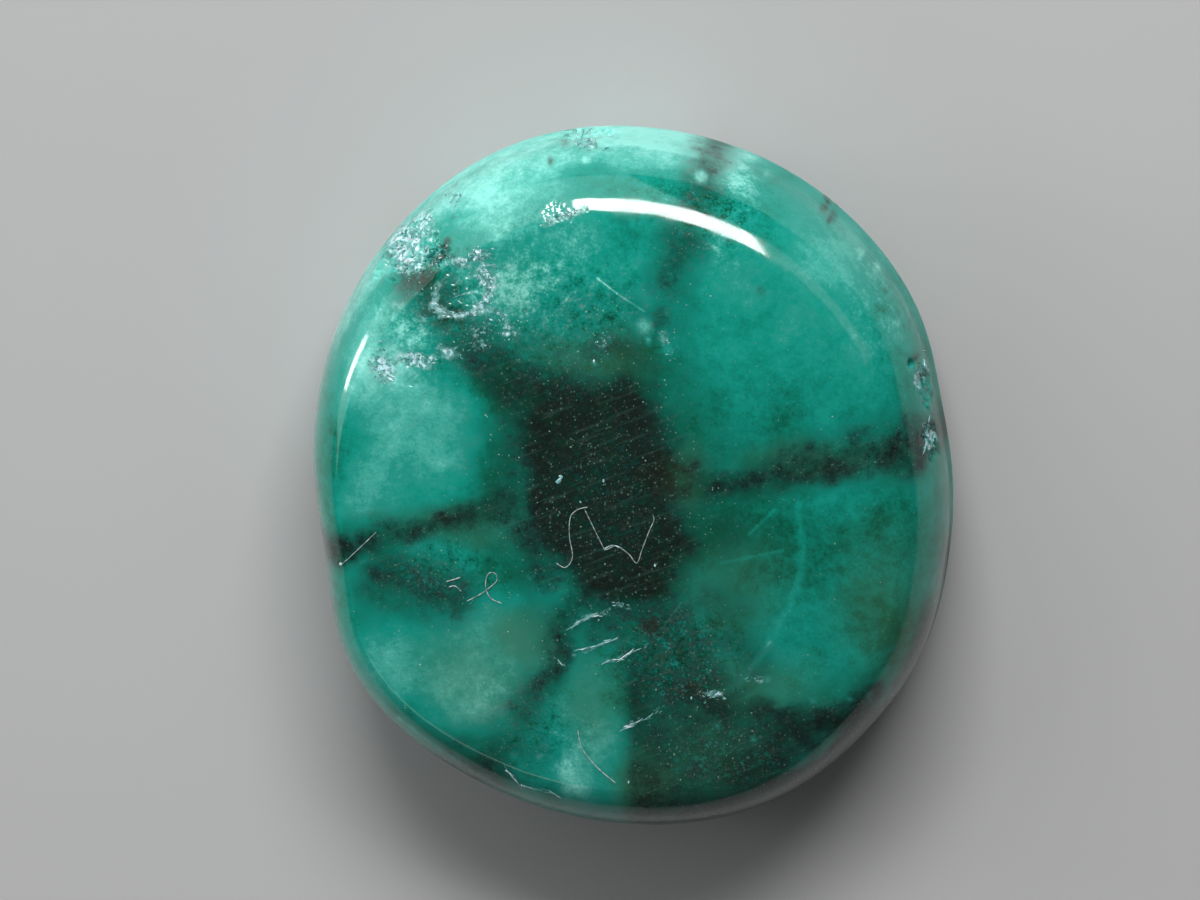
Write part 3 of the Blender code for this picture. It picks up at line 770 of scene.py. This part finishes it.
def makeBeryl():
    material = bpy.data.materials.new("beryl")
    material.use_nodes = True
    tree = material.node_tree
    shader = tree.nodes["Principled BSDF"]
    point = millimetres(tree)
    feather = cloud(tree, point, 0.11, 4, 0.68)
    grain = cloud(tree, point, 0.028, 2, 0.6)

    # milky clouds, streaks and grain, strongest where the crystal is busy
    busy = attribute(tree, "busy")
    tangle = calc(tree, "MULTIPLY", calc(tree, "SUBTRACT", grain, 0.5), 0.24)
    tangle = calc(tree, "MULTIPLY_ADD", calc(tree, "SUBTRACT", feather, 0.5), 0.46, tangle)
    tangle = calc(tree, "MULTIPLY", tangle, calc(tree, "MULTIPLY_ADD", busy, 3.8, 1.0))
    tint = calc(tree, "ADD", attribute(tree, "tint"), tangle)
    tint = calc(tree, "MULTIPLY_ADD", attribute(tree, "pale"), 0.5, tint)
    for start, end, width, strength in beryl["scratches"]:
        line = useGroup(tree, scratchGroup, point=point, start=(*start, 0), end=(*end, 0), width=width, strength=strength)
        tint = calc(tree, "ADD", tint, line["mask"])
    green = colourRamp(tree, tint, beryl["tints"])
    green = mixColour(tree, attribute(tree, "olive"), green, beryl["veil"])

    # the edges of the dark matter are smoky, and its inside is patchy
    dark = attribute(tree, "dark")
    blotch = attribute(tree, "blotch")
    edge = calc(tree, "MULTIPLY", dark, calc(tree, "SUBTRACT", 1.0, dark))
    rough = calc(tree, "MULTIPLY", calc(tree, "SUBTRACT", feather, 0.5), 4.6)
    rough = calc(tree, "MULTIPLY_ADD", calc(tree, "SUBTRACT", grain, 0.5), 2.4, rough)
    share = calc(tree, "MULTIPLY_ADD", edge, rough, dark, clamp=True)
    lumps = cloud(tree, point, 0.065, 3, 0.72, (3.0, 1.0, 9.0))
    gaps = calc(tree, "MULTIPLY", fade(tree, lumps, 0.46, 0.66), calc(tree, "MULTIPLY", busy, 0.66))
    share = calc(tree, "MULTIPLY", share, calc(tree, "SUBTRACT", 1.0, gaps))
    patchy = calc(tree, "MULTIPLY_ADD", calc(tree, "SUBTRACT", feather, 0.5), 1.3, calc(tree, "ADD", dark, calc(tree, "MULTIPLY", blotch, 0.35)))
    soot = colourRamp(tree, patchy, beryl["soots"])
    hairs = useGroup(tree, hairlineGroup, point=point, angle=math.radians(-22), size=0.035)["mask"]
    dusty = fade(tree, lumps, 0.55, 0.32)
    dusty = calc(tree, "MULTIPLY", dusty, calc(tree, "MULTIPLY_ADD", busy, 0.55, 0.20))
    dusty = calc(tree, "MULTIPLY_ADD", hairs, 0.24, dusty)
    soot = mixColour(tree, dusty, soot, beryl["dust"])
    rusty = calc(tree, "MULTIPLY", attribute(tree, "rust"), fade(tree, feather, 0.35, 0.60))
    colour = mixColour(tree, share, green, soot)
    colour = mixColour(tree, rusty, colour, beryl["rust"])

    specks = useGroup(tree, speckGroup, point=point, spacing=0.06, size=0.24, share=0.30)["mask"]
    finer = useGroup(tree, speckGroup, point=point, spacing=0.034, size=0.38, share=0.60)["mask"]
    grainy = calc(tree, "MULTIPLY_ADD", dark, 0.55, calc(tree, "MULTIPLY", busy, 0.35))
    finer = calc(tree, "MULTIPLY", finer, calc(tree, "MULTIPLY", grainy, fade(tree, lumps, 0.56, 0.40)))
    colour = mixColour(tree, finer, colour, beryl["speck"])
    specks = calc(tree, "MULTIPLY", specks, calc(tree, "MULTIPLY_ADD", busy, 0.45, 0.22))
    colour = mixColour(tree, specks, colour, beryl["speck"])

    # cracked crystal: a mosaic of crumbs from deep green to white, under a thin veil
    broken = attribute(tree, "broken")
    crumbs = useGroup(tree, facetGroup, point=point, size=0.035)
    blend = calc(tree, "MULTIPLY_ADD", calc(tree, "SUBTRACT", feather, 0.5), 2.4, broken)
    blend = calc(tree, "MULTIPLY", fade(tree, blend, 0.24, 0.86), calc(tree, "MINIMUM", calc(tree, "MULTIPLY", broken, 3.0), 0.88))
    paleness = calc(tree, "MULTIPLY_ADD", calc(tree, "SUBTRACT", broken, 0.5), 0.45, crumbs["brightness"])
    colour = mixColour(tree, blend, colour, colourRamp(tree, paleness, beryl["crumbs"]))
    feed(tree, shader.inputs["Base Color"], colour)

    polished, rubbed = beryl["roughness"]
    smear = fade(tree, blotch, -0.6, 0.6, polished * 0.8, polished * 1.5)
    height = addNode(tree, "ShaderNodeSeparateXYZ")
    feed(tree, height.inputs[0], point)
    smear = calc(tree, "MAXIMUM", smear, fade(tree, height.outputs["Z"], *beryl["matteHeights"], beryl["matte"], 0.0))
    feed(tree, shader.inputs["Roughness"], fade(tree, broken, 0.0, 0.6, smear, rubbed))
    dents = addNode(tree, "ShaderNodeBump")
    dents.inputs["Distance"].default_value = 0.00001
    feed(tree, dents.inputs["Height"], calc(tree, "MULTIPLY", crumbs["height"], broken))
    feed(tree, shader.inputs["Normal"], dents.outputs["Normal"])
    shader.inputs["IOR"].default_value = beryl["ior"]
    shader.inputs["Subsurface Weight"].default_value = 1.0
    shader.inputs["Subsurface Radius"].default_value = beryl["subsurfaceRadius"]
    shader.inputs["Subsurface Scale"].default_value = beryl["subsurfaceScale"]
    return material


finishPiece("emeraldFine", stoneMesh, makeBeryl())


def surfaceAt(x, y):
    # The point of the upper surface over a place, and its normal.
    hit, normal, _, _ = stoneTree.ray_cast(Vector((x, y, 5)), Vector((0, 0, -1)))
    if hit is None:
        return None, None
    return hit, normal


splinters = {
    "seed": 11,
    # cracked patches: middle, radii, direction in degrees and its spread, how many, length, half width
    "patches": (
        ((-2.26, 2.50), (0.20, 0.22), 50, 40, 60, 0.060, 0.020),
        ((-2.16, 2.34), (0.22, 0.16), 50, 60, 50, 0.035, 0.012),
        ((-1.76, 2.93), (0.12, 0.12), 60, 60, 20, 0.035, 0.012),
        ((-1.43, 2.48), (0.13, 0.06), 20, 60, 40, 0.040, 0.016),
        ((-1.66, 2.41), (0.10, 0.06), 0, 50, 30, 0.040, 0.014),
        ((-1.40, 2.28), (0.14, 0.12), -40, 60, 34, 0.030, 0.011),
        ((-2.44, 1.36), (0.12, 0.15), 70, 60, 40, 0.040, 0.012),
        ((-2.36, 1.22), (0.12, 0.04), -10, 25, 14, 0.080, 0.011),
        ((-2.02, 1.42), (0.22, 0.06), -12, 40, 44, 0.040, 0.011),
        ((-1.72, 1.53), (0.14, 0.07), 15, 50, 24, 0.035, 0.010),
        ((-1.45, 1.66), (0.18, 0.14), 100, 60, 40, 0.025, 0.008),
        ((-1.10, 1.76), (0.20, 0.20), 60, 90, 34, 0.022, 0.007),
        ((-0.47, 3.51), (0.14, 0.05), 0, 40, 30, 0.070, 0.016),
        ((2.93, 1.25), (0.03, 0.13), -58, 15, 14, 0.160, 0.018),
        ((2.99, 0.60), (0.03, 0.11), -80, 15, 14, 0.140, 0.020),
        ((0.92, -1.92), (0.14, 0.05), 25, 50, 30, 0.035, 0.012),
        ((1.34, -1.74), (0.12, 0.03), 0, 40, 14, 0.040, 0.011),
        ((0.46, 1.62), (0.07, 0.12), 60, 60, 16, 0.025, 0.009),
        ((-0.20, 1.66), (0.18, 0.16), 60, 90, 18, 0.022, 0.008),
    ),
    # fissures that come up to the surface: corners, how many splinters, scatter, length, half width
    "lines": (
        (((-1.87, 2.14), (-1.87, 1.96), (-1.77, 1.90)), 30, 0.022, 0.045, 0.010),
        (((-1.77, 1.90), (-1.60, 1.87), (-1.43, 1.92)), 30, 0.020, 0.055, 0.012),
        (((-1.43, 1.92), (-1.35, 2.07), (-1.30, 2.21), (-1.38, 2.33)), 50, 0.040, 0.040, 0.012),
        (((-1.36, 1.93), (-1.22, 1.89), (-1.15, 1.81), (-1.16, 1.68)), 30, 0.030, 0.035, 0.009),
        (((-0.43, 2.95), (-0.53, 2.90), (-0.65, 2.87), (-0.78, 2.78)), 26, 0.018, 0.035, 0.014),
        (((-0.51, -1.25), (-0.39, -1.17), (-0.27, -1.11)), 16, 0.006, 0.11, 0.010),
        (((-0.27, -1.11), (-0.15, -1.09), (-0.11, -1.00), (-0.02, -0.97), (0.10, -1.02)), 24, 0.012, 0.04, 0.005),
        (((-0.50, -1.49), (-0.28, -1.44), (-0.06, -1.35)), 16, 0.005, 0.17, 0.010),
        (((-0.23, -1.62), (-0.02, -1.56), (0.09, -1.49)), 12, 0.005, 0.13, 0.009),
        (((0.05, -1.51), (0.26, -1.40)), 7, 0.006, 0.09, 0.004),
        (((0.03, -2.28), (0.19, -2.20), (0.38, -2.10)), 14, 0.006, 0.12, 0.008),
        (((-0.67, -1.56), (-0.55, -1.66)), 6, 0.004, 0.07, 0.005),
        (((-1.16, -2.78), (-1.04, -2.95), (-0.79, -3.00), (-0.59, -3.06)), 16, 0.004, 0.18, 0.006),
        (((-1.62, 2.34), (-1.30, 2.37), (-1.05, 2.35)), 9, 0.006, 0.12, 0.004),
        (((-1.66, 2.06), (-1.48, 2.10)), 4, 0.004, 0.10, 0.004),
    ),
    # loose crumbs
    "crumbs": (((-0.62, 0.26), 0.030), ((-0.595, 0.30), 0.018), ((-0.27, 1.46), 0.016), ((-2.83, -0.70), 0.022),
               ((0.34, -0.58), 0.014), ((-0.40, 0.05), 0.010), ((-0.17, 0.27), 0.014), ((0.06, -2.86), 0.014)),
}


def surfaceRun(start, way, length, count):
    # Points of the surface along a straight run, with its normals.
    for step in range(count + 1):
        hit, normal = surfaceAt(start[0] + way[0] * length * step / count, start[1] + way[1] * length * step / count)
        if hit is None or normal.z < 0.05:
            return
        yield hit, normal


def addSplinter(bm, tone, start, degrees, length, width, rng):
    # A thin wedge of crystal that lies along the surface, with a broken crest and pointed ends.
    way = (math.cos(math.radians(degrees)), math.sin(math.radians(degrees)))
    start = (start[0] - way[0] * length / 2, start[1] - way[1] * length / 2)
    count = max(2, min(8, round(length / 0.018)))
    run = list(surfaceRun(start, way, length, count))
    if len(run) < count + 1:
        return
    across = Vector((-way[1], way[0], 0))
    shade = rng.random() ** 1.3
    ring = bmesh.ops.create_circle(bm, cap_ends=True, segments=4, radius=width)["verts"]
    edges = list(dict.fromkeys(edge for vert in ring for edge in vert.link_edges))
    for step, (hit, normal) in enumerate(run):
        if step:
            grown = bmesh.ops.extrude_edge_only(bm, edges=edges)["geom"]
            edges = [part for part in grown if isinstance(part, bmesh.types.BMEdge)]
            links = {edge.other_vert(v): v for v in ring for edge in v.link_edges if edge.other_vert(v) not in ring}
            grownVerts = [part for part in grown if isinstance(part, bmesh.types.BMVert)]
            ring = sorted(grownVerts, key=lambda vert: ring.index(links[vert]))
        half = width * (0.15 + math.sin(math.pi * step / count) ** 0.7) * rng.uniform(0.6, 1.3)
        crest = normal * half * rng.uniform(0.25, 0.9) + across * half * rng.uniform(-0.5, 0.5)
        side = across * half
        for vert, offset in zip(ring, (crest, side - normal * half * 0.3, normal * -half, -side - normal * half * 0.3)):
            vert.co = hit + offset
            vert[tone] = shade
    bmesh.ops.edgeloop_fill(bm, edges=edges)


def addCrumb(bm, tone, x, y, size, rng):
    hit, normal = surfaceAt(x, y)
    turn = normal.to_track_quat("Z", "Y").to_matrix().to_4x4() @ Matrix.Rotation(rng.uniform(0, 6.3), 4, "Z")
    matrix = Matrix.Translation(hit) @ turn @ Matrix.Diagonal((1.4, 0.8, 0.6, 1))
    made = bmesh.ops.create_icosphere(bm, subdivisions=1, radius=size, matrix=matrix)["verts"]
    for vert in made:
        vert.co += Vector([rng.uniform(-0.2, 0.2) * size for _ in range(3)])
        vert[tone] = 0.8


def alongPath(path, share):
    # The point at a share of a path's length, and the path's direction there in degrees.
    lengths = [math.dist(a, b) for a, b in zip(path, path[1:])]
    left = share * sum(lengths)
    for (a, b), length in zip(zip(path, path[1:]), lengths):
        if left <= length:
            break
        left -= length
    degrees = math.degrees(math.atan2(b[1] - a[1], b[0] - a[0]))
    return tuple(p + (q - p) * min(left / length, 1) for p, q in zip(a, b)), degrees


def buildSplinters():
    bm = bmesh.new()
    tone = bm.verts.layers.float.new("tone")
    rng = random.Random(splinters["seed"])
    for (x, y), (rx, ry), degrees, spread, count, length, width in splinters["patches"]:
        for _ in range(count):
            spot = (x + rng.gauss(0, 0.6) * rx, y + rng.gauss(0, 0.6) * ry)
            reach = length * rng.uniform(0.3, 1.3)
            addSplinter(bm, tone, spot, rng.gauss(degrees, spread), reach, width * rng.uniform(0.3, 1.2), rng)
    for path, count, scatter, length, width in splinters["lines"]:
        for _ in range(count):
            (x, y), degrees = alongPath(path, rng.random())
            spot = (x + rng.gauss(0, scatter), y + rng.gauss(0, scatter))
            reach = length * rng.uniform(0.3, 1.3)
            addSplinter(bm, tone, spot, rng.gauss(degrees, 12), reach, width * rng.uniform(0.4, 1.2), rng)
    for (x, y), size in splinters["crumbs"]:
        addCrumb(bm, tone, x, y, size, rng)
    bmesh.ops.recalc_face_normals(bm, faces=bm.faces)
    return bm


def makeBrokenMaterial():
    material = bpy.data.materials.new("brokenBeryl")
    material.use_nodes = True
    tree = material.node_tree
    shader = tree.nodes["Principled BSDF"]
    facets = useGroup(tree, facetGroup, point=millimetres(tree), size=0.03)
    shade = calc(tree, "MULTIPLY_ADD", facets["brightness"], 0.35, calc(tree, "MULTIPLY", attribute(tree, "tone"), 0.75))
    stops = ((0.0, (0.02, 0.16, 0.13)), (0.4, (0.08, 0.31, 0.29)), (0.75, (0.27, 0.51, 0.54)), (1.0, (0.74, 0.87, 0.92)))
    feed(tree, shader.inputs["Base Color"], colourRamp(tree, shade, stops))
    shader.inputs["Roughness"].default_value = 0.28
    shader.inputs["IOR"].default_value = beryl["ior"]
    return material


print("splinters")
splinterPiece = finishPiece("splinters", buildSplinters(), makeBrokenMaterial())
splinterPiece.data.shade_flat()

specks = {
    "seed": 5,
    # where mineral specks are scattered: middle, radii, how many
    "fields": (
        ((-0.2, 0.2), (1.2, 1.2), 260), ((-1.4, -1.4), (1.1, 0.9), 110), ((-1.9, 0.6), (0.9, 0.9), 70),
        ((0.6, -2.2), (0.9, 0.6), 90), ((0.3, 2.0), (1.2, 0.7), 60), ((0.0, 0.0), (2.9, 2.9), 160),
    ),
    "radius": (0.0035, 0.0095),
}


def buildSpecks():
    bm = bmesh.new()
    rng = random.Random(specks["seed"])
    for (x, y), (rx, ry), count in specks["fields"]:
        for _ in range(count):
            hit, normal = surfaceAt(x + rng.gauss(0, 0.55) * rx, y + rng.gauss(0, 0.55) * ry)
            if hit is not None and normal.z > 0.3:
                radius = specks["radius"][0] + (specks["radius"][1] - specks["radius"][0]) * rng.random() ** 2
                stretch = Matrix.Diagonal((1, rng.uniform(0.6, 1.3), 0.8, 1))
                matrix = Matrix.Translation(hit) @ Matrix.Rotation(rng.uniform(0, 3), 4, "Z") @ stretch
                bmesh.ops.create_icosphere(bm, subdivisions=1, radius=radius, matrix=matrix)
    return bm


def makeSpeckMaterial():
    material = bpy.data.materials.new("mineralSpecks")
    material.use_nodes = True
    tree = material.node_tree
    shader = tree.nodes["Principled BSDF"]
    facets = useGroup(tree, facetGroup, point=millimetres(tree), size=0.06)
    stops = ((0.0, (0.03, 0.14, 0.10)), (0.5, (0.08, 0.24, 0.18)), (0.9, (0.22, 0.38, 0.28)), (1.0, (0.50, 0.60, 0.50)))
    feed(tree, shader.inputs["Base Color"], colourRamp(tree, facets["brightness"], stops))
    shader.inputs["Roughness"].default_value = 0.35
    return material


print("specks")
finishPiece("mineralSpecks", buildSpecks(), makeSpeckMaterial())

lint = {
    "sides": 6,
    "lift": 0.006,
    # fibres on the face: corners, radius
    "fibres": (
        (((-0.64, -0.58), (-0.55, -0.62), (-0.48, -0.51), (-0.51, -0.30), (-0.50, -0.11), (-0.43, -0.03), (-0.33, 0.00)), 0.0042),
        (((-0.35, -0.04), (-0.18, -0.39), (-0.15, -0.43), (-0.04, -0.39), (0.08, -0.47), (0.16, -0.56), (0.21, -0.43),
          (0.28, -0.24), (0.33, -0.12), (0.32, -0.07)), 0.0042),
        (((-0.16, -0.42), (-0.09, -0.385), (-0.02, -0.40), (0.06, -0.45)), 0.0060),
        (((-1.54, -1.00), (-1.40, -0.92), (-1.30, -0.84), (-1.24, -0.78), (-1.25, -0.71), (-1.31, -0.70), (-1.345, -0.76),
          (-1.35, -0.86), (-1.30, -0.96), (-1.19, -1.01)), 0.0042),
        (((-2.81, -0.69), (-2.70, -0.58), (-2.46, -0.34)), 0.0050),
        (((-0.44, -2.31), (-0.42, -2.45), (-0.37, -2.56), (-0.24, -2.72), (-0.07, -2.87)), 0.0042),
        (((-1.75, -0.81), (-1.69, -0.79), (-1.61, -0.76)), 0.0060),
        (((-1.72, -0.86), (-1.66, -0.85), (-1.60, -0.90)), 0.0050),
    ),
}


def curveThrough(corners, steps=8):
    # Points of a smooth curve through the corners.
    padded = (corners[0], *corners, corners[-1])
    for before, start, end, after in zip(padded, padded[1:], padded[2:], padded[3:]):
        for step in range(steps):
            t = step / steps
            yield tuple(
                0.5 * (2 * b + (c - a) * t + (2 * a - 5 * b + 4 * c - d) * t * t + (3 * b - a - 3 * c + d) * t**3)
                for a, b, c, d in zip(before, start, end, after)
            )
    yield corners[-1]


def buildLint():
    bm = bmesh.new()
    for corners, radius in lint["fibres"]:
        spots = []
        for x, y in curveThrough(corners):
            hit, normal = surfaceAt(x, y)
            lift = lint["lift"] + 0.004 * noise.noise(Vector((x * 4, y * 4, radius * 900)))
            spots.append(hit + normal * lift)
        ways = [(b - a).normalized() for a, b in zip(spots, spots[1:])]
        ways.append(ways[-1])
        start = Matrix.Translation(spots[0]) @ ways[0].to_track_quat("Z", "Y").to_matrix().to_4x4()
        made = bmesh.ops.create_circle(bm, cap_ends=True, segments=lint["sides"], radius=radius, matrix=start)["verts"]
        ring = [edge for edge in bm.edges if edge.verts[0] in made and edge.verts[1] in made]
        for a, b, before, way in zip(spots, spots[1:], ways, ways[1:]):
            grown = bmesh.ops.extrude_edge_only(bm, edges=ring)["geom"]
            ring = [part for part in grown if isinstance(part, bmesh.types.BMEdge)]
            verts = [part for part in grown if isinstance(part, bmesh.types.BMVert)]
            turn = before.rotation_difference(way).to_matrix()
            for vert in verts:
                vert.co = b + turn @ (vert.co - a)
        bmesh.ops.edgeloop_fill(bm, edges=ring)
    bmesh.ops.recalc_face_normals(bm, faces=bm.faces)
    return bm


def makeLintMaterial():
    material = bpy.data.materials.new("lint")
    material.use_nodes = True
    tree = material.node_tree
    shader = tree.nodes["Principled BSDF"]
    fuzz = cloud(tree, millimetres(tree), 0.04, 2, 0.6)
    feed(tree, shader.inputs["Base Color"], mixColour(tree, fade(tree, fuzz, 0.35, 0.65), (0.10, 0.18, 0.16), (0.48, 0.60, 0.58)))
    shader.inputs["Roughness"].default_value = 0.5
    return material


print("lint")
finishPiece("lint", buildLint(), makeLintMaterial())

print("stage")
bm = bmesh.new()
bmesh.ops.create_grid(bm, x_segments=1, y_segments=1, size=0.3)
mesh = bpy.data.meshes.new("floor")
bm.to_mesh(mesh)
bm.free()
floor = bpy.data.objects.new("floor", mesh)
bpy.context.scene.collection.objects.link(floor)
floorMat = bpy.data.materials.new("paleFloor")
floorMat.use_nodes = True
floorMat.node_tree.nodes["Principled BSDF"].inputs["Base Color"].default_value = (0.42, 0.42, 0.42, 1)
floorMat.node_tree.nodes["Principled BSDF"].inputs["Roughness"].default_value = 0.9
mesh.materials.append(floorMat)

cameraSettings = {
    "tiltRight": 5.0,        # degrees from straight above, towards the face's right
    "tiltUp": 12.0,          # and towards its top
    "distance": 80.0,
    "viewWidth": 12.0,       # across the whole picture, at the stone's widest line
    "stoneFromCentre": (0.34, -0.24),   # where the star's axis lies in the picture, right and up of its middle
}
camData = bpy.data.cameras.new("camera")
camera = bpy.data.objects.new("camera", camData)
bpy.context.scene.collection.objects.link(camera)
bpy.context.scene.camera = camera
tilts = [math.tan(math.radians(cameraSettings[name])) for name in ("tiltRight", "tiltUp")]
toward = Vector((*tilts, 1)).normalized()
up = (Vector((0, 1, 0)) - toward.y * toward).normalized()
right = up.cross(toward)
aim = axisPoint + Vector((0, 0, stone["girdleHeight"] * mm))
aim -= right * cameraSettings["stoneFromCentre"][0] * mm + up * cameraSettings["stoneFromCentre"][1] * mm
camera.location = aim + toward * cameraSettings["distance"] * mm
camera.rotation_euler = Matrix((right, up, toward)).transposed().to_euler()
camData.lens = camData.sensor_width * cameraSettings["distance"] / cameraSettings["viewWidth"]
camData.clip_start = 0.005
camData.clip_end = 5.0

# softboxes around the stone: degrees anticlockwise from +X, degrees from straight above, distance, size, radiance
lights = {
    "windowLight": (83, 45, 100, (61, 28), 20.0),
    "upperLeftSheet": (135, 62, 100, (220, 100), 1.2),
    "leftStrip": (168, 82, 100, (20, 18), 17.0),
    "rightReflector": (38, 48, 100, (62, 24), 0.6),
    "lowerLeftFill": (238, 52, 100, (60, 16), 0.9),
}
for name, (azimuth, polar, distance, size, radiance) in lights.items():
    light = bpy.data.lights.new(name, "AREA")
    light.shape = "RECTANGLE"
    light.size = size[0] * mm
    light.size_y = size[1] * mm
    light.energy = radiance * math.pi * size[0] * size[1] * mm * mm
    lamp = bpy.data.objects.new(name, light)
    bpy.context.scene.collection.objects.link(lamp)
    way = Vector((math.sin(math.radians(polar)), 0, math.cos(math.radians(polar))))
    way.rotate(Matrix.Rotation(math.radians(azimuth), 3, "Z"))
    lamp.location = Vector((0, 0, 1.5 * mm)) + way * distance * mm
    lamp.rotation_euler = way.to_track_quat("Z", "Y").to_euler()

world = bpy.data.worlds.new("studio")
bpy.context.scene.world = world
world.use_nodes = True
world.node_tree.nodes["Background"].inputs["Color"].default_value = (0.8, 0.82, 0.85, 1)
world.node_tree.nodes["Background"].inputs["Strength"].default_value = 0.08
bpy.context.scene.view_settings.view_transform = "Standard"
